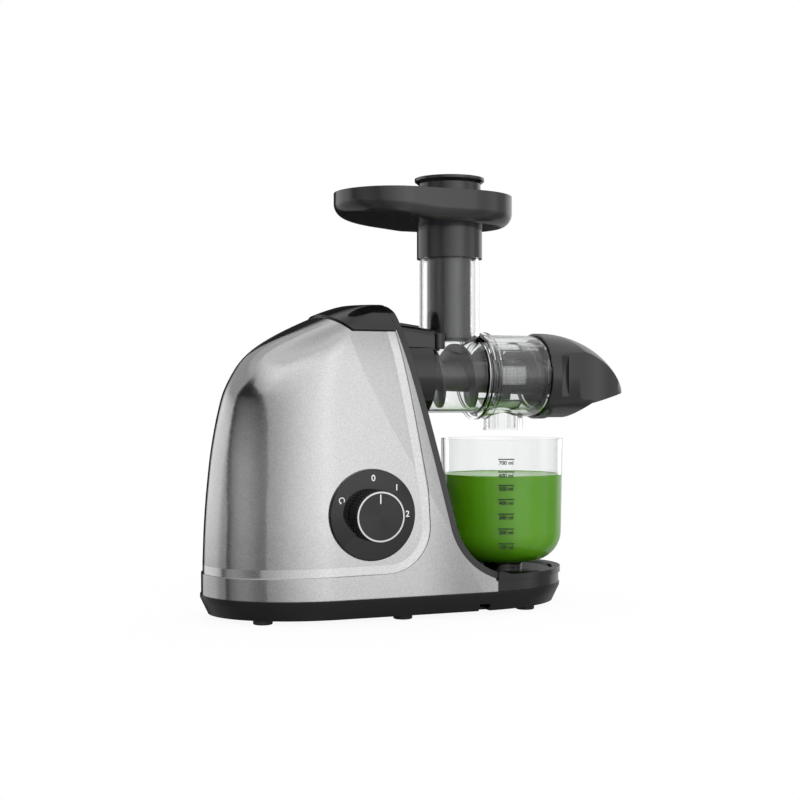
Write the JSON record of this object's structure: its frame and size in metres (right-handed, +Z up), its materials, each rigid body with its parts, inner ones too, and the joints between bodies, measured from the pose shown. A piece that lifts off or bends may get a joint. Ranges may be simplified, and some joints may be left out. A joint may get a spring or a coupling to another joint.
{
  "type": "cold press juicer",
  "caption": "Horizontal slow juicer: rounded motor housing with a speed dial, screw press under a feed tube and tray, pulp nose in front and a clear cup on the foot.",
  "frame": {"origin": "middle of the overall box at table height", "axes": "+X along the auger towards the pulp outlet, -Y out of the dial face, +Z up"},
  "size_m": [0.3993, 0.1614, 0.377],
  "materials": {
    "silver_paint": "fine silver metallic paint, satin gloss",
    "black_gloss": "gloss black moulding",
    "black_satin": "satin black moulding",
    "clear_plastic": "clear moulding",
    "smoke_plastic": "dark moulding of the auger",
    "fine_mesh": "fine woven steel mesh",
    "steel": "machined steel",
    "spring_steel": "drawn wire",
    "chrome_ring": "bright ring",
    "knob_plate": "dark metal plate, turned finish",
    "rubber": "black rubber",
    "gear_plastic": "natural moulded gear",
    "copper": "wound copper wire",
    "bronze": "sintered bushes",
    "board_green": "circuit board"
  },
  "bodies": {
    "housing": {"left_shell": "silver_paint", "right_shell": "silver_paint", "top_handle": "black_gloss", "front_cover": "black_gloss", "button_spring": "spring_steel", "base_pan": "black_satin", "rubber_feet": "rubber", "base_screws": "steel", "gearbox_case": "black_satin", "gearbox_cover": "black_satin", "counter_pin": "steel", "output_bushes": "bronze", "motor_can": "steel", "stator_stack": "steel", "stator_windings": "copper", "motor_bearings": "steel", "motor_dampers": "rubber", "dial_bezel": "black_gloss", "switch_body": "black_satin", "control_board": "board_green", "motor_capacitor": "black_satin", "cord_gland": "rubber"},
    "knob": {"knob_body": "black_satin", "knob_ring": "chrome_ring", "knob_face": "knob_plate", "switch_shaft": "steel"},
    "button": {"release_button": "black_gloss"},
    "rotor": {"rotor_core": "steel", "rotor_shaft": "steel", "cooling_fan": "black_satin"},
    "counter": {"counter_wheel": "gear_plastic", "counter_pinion": "steel"},
    "press": {"output_shaft": "steel", "output_wheel": "gear_plastic", "auger": "smoke_plastic"},
    "drum": {"juicing_drum": "clear_plastic", "drum_seal": "rubber", "strainer_frame": "clear_plastic", "strainer_mesh": "fine_mesh"},
    "nose": {"nose_cap": "black_gloss"},
    "tray": {"food_tray": "black_gloss"},
    "pusher": {"pusher": "black_gloss"},
    "cup": {"juice_cup": "clear_plastic"}
  },
  "joints": [
    {"name": "motor_spin", "type": "hinge", "parent": "housing", "child": "rotor", "pos_m": [-0.12435, 0.00793, 0.12425], "axis": [1, 0, 0], "continuous": true},
    {"name": "counter_spin", "type": "hinge", "parent": "housing", "child": "counter", "pos_m": [-0.07535, 0.00793, 0.15925], "axis": [1, 0, 0], "continuous": true},
    {"name": "auger_spin", "type": "hinge", "parent": "housing", "child": "press", "pos_m": [-0.00035, 0.00793, 0.203], "axis": [1, 0, 0], "continuous": true},
    {"name": "knob_turn", "type": "hinge", "parent": "housing", "child": "knob", "pos_m": [-0.07505, -0.07207, 0.088], "axis": [0, 1, 0], "range_deg": [-65, 90]},
    {"name": "button_press", "type": "slide", "parent": "housing", "child": "button", "axis": [0, 0, -1], "range_m": [0, 0.0026], "stiffness_N_per_m": 400, "springref_m": -0.001, "deforming": ["button_spring"]},
    {"name": "drum_twist", "type": "hinge", "parent": "housing", "child": "drum", "pos_m": [0.02425, 0.00793, 0.203], "axis": [1, 0, 0], "range_deg": [-30, 0]},
    {"name": "nose_twist", "type": "hinge", "parent": "drum", "child": "nose", "pos_m": [0.10965, 0.00793, 0.203], "axis": [1, 0, 0], "range_deg": [0, 40]},
    {"name": "tray_lift", "type": "slide", "parent": "drum", "child": "tray", "axis": [0, 0, 1], "range_m": [0, 0.06]},
    {"name": "pusher_lift", "type": "slide", "parent": "tray", "child": "pusher", "axis": [0, 0, 1], "range_m": [0, 0.15]},
    {"name": "cup_draw", "type": "slide", "parent": "housing", "child": "cup", "axis": [1, 0, 0], "range_m": [0, 0.14]}
  ],
  "couplings": [
    {"joint": "counter_spin", "follows": "motor_spin", "ratio": -0.25},
    {"joint": "auger_spin", "follows": "motor_spin", "ratio": 0.0625}
  ]
}
